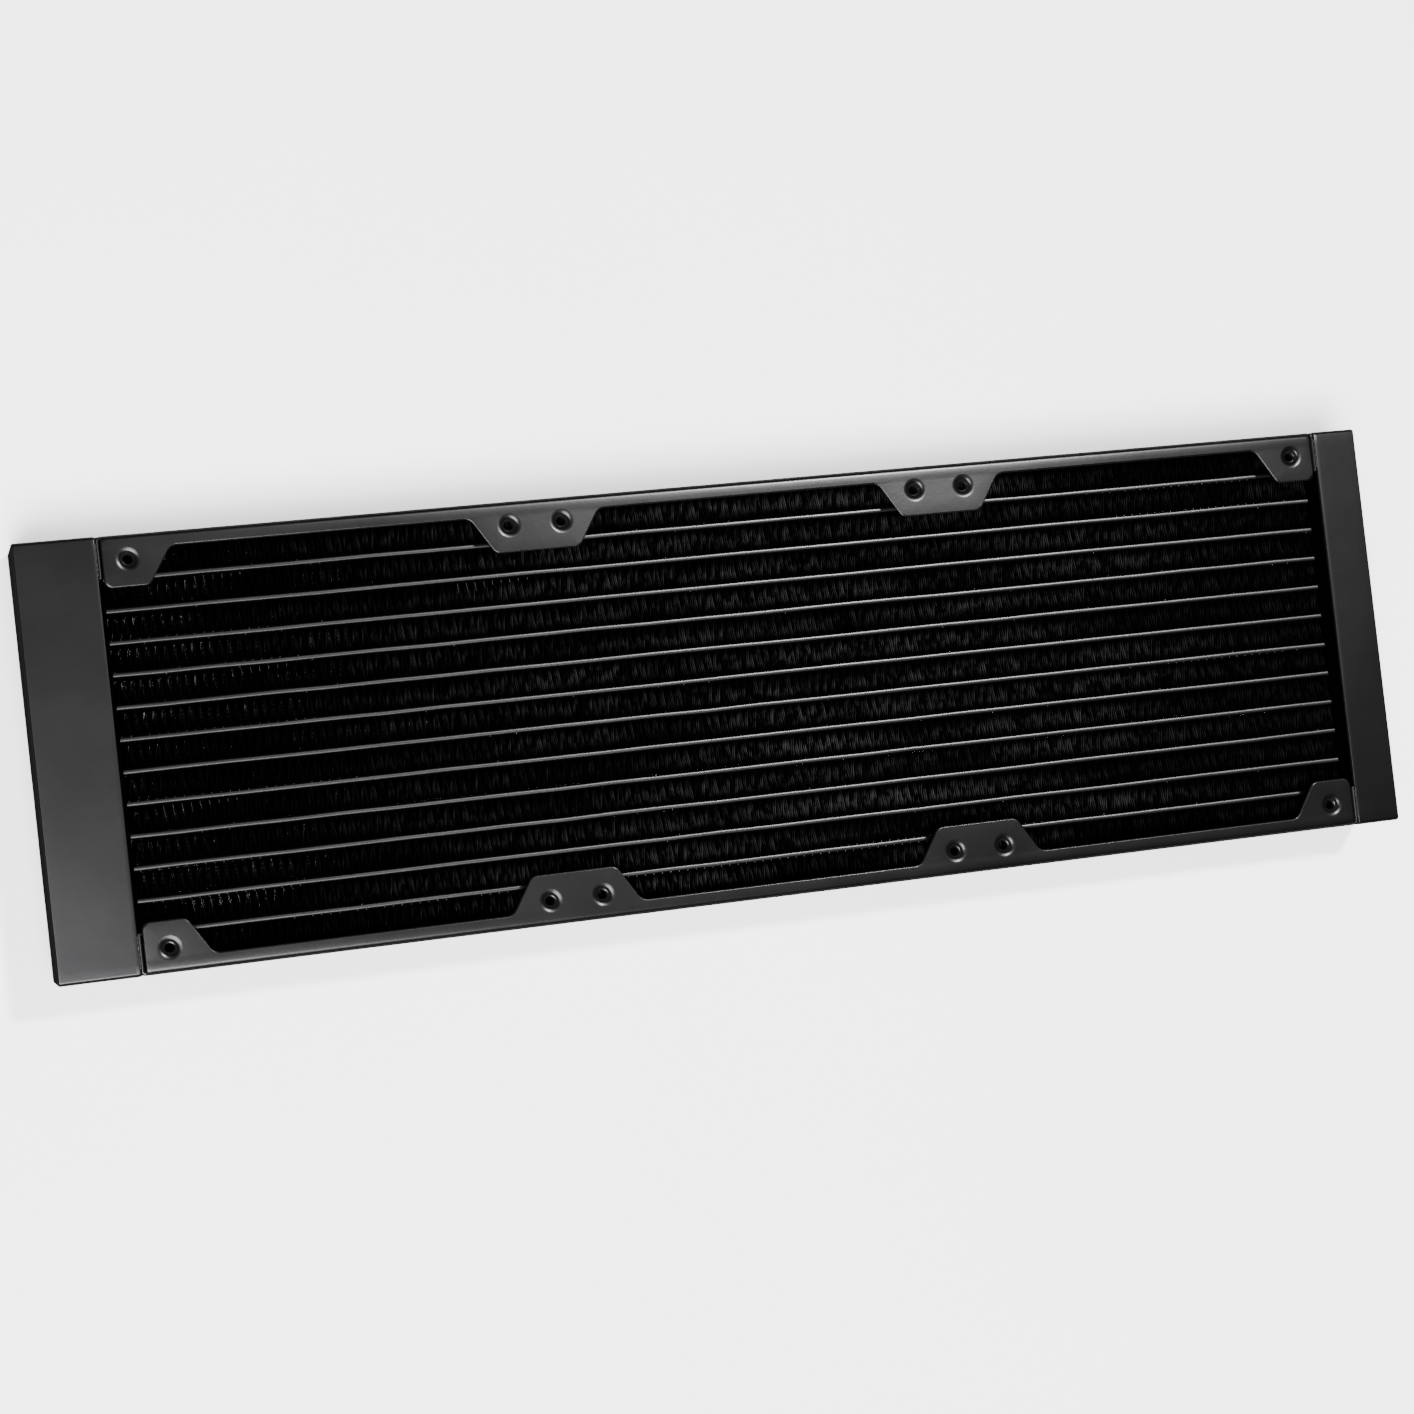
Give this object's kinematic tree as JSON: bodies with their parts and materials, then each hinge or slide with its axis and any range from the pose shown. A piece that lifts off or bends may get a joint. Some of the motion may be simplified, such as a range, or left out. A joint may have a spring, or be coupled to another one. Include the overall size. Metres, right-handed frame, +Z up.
{
  "type": "liquid cooling radiator",
  "caption": "Slim flat radiator with end tanks, flat coolant tubes, folded fins and tabbed side frames that fans screw onto, for cooling liquid in a computer.",
  "frame": {"origin": "middle of the underside", "axes": "+X along the length toward the narrow return tank, +Y across the width, +Z up through the thickness, out of the face with no ports"},
  "size_m": [0.397, 0.1186, 0.027],
  "materials": {
    "tank_paint": "satin black powder coat",
    "frame_paint": "satin black powder coat",
    "core_paint": "satin black paint",
    "tube_paint": "satin black paint",
    "fin_paint": "thin black paint on folded sheet",
    "bare_brass": "bare, inside the tank",
    "port_brass": "turned brass"
  },
  "bodies": {
    "root": {"inlet_tank": "tank_paint", "return_tank": "tank_paint", "side_frame_back": "frame_paint", "side_frame_front": "frame_paint", "inlet_header_plate": "core_paint", "return_header_plate": "core_paint", "core_side_plate_back": "core_paint", "core_side_plate_front": "core_paint", "coolant_tube_01": "tube_paint", "coolant_tube_02": "tube_paint", "coolant_tube_03": "tube_paint", "coolant_tube_04": "tube_paint", "coolant_tube_05": "tube_paint", "coolant_tube_06": "tube_paint", "coolant_tube_07": "tube_paint", "coolant_tube_08": "tube_paint", "coolant_tube_09": "tube_paint", "coolant_tube_10": "tube_paint", "coolant_tube_11": "tube_paint", "coolant_tube_12": "tube_paint", "fin_strip_01": "fin_paint", "fin_strip_02": "fin_paint", "fin_strip_03": "fin_paint", "fin_strip_04": "fin_paint", "fin_strip_05": "fin_paint", "fin_strip_06": "fin_paint", "fin_strip_07": "fin_paint", "fin_strip_08": "fin_paint", "fin_strip_09": "fin_paint", "fin_strip_10": "fin_paint", "fin_strip_11": "fin_paint", "fin_strip_12": "fin_paint", "fin_strip_13": "fin_paint", "tank_divider": "bare_brass", "inlet_port": "port_brass", "outlet_port": "port_brass"}
  },
  "joints": []
}
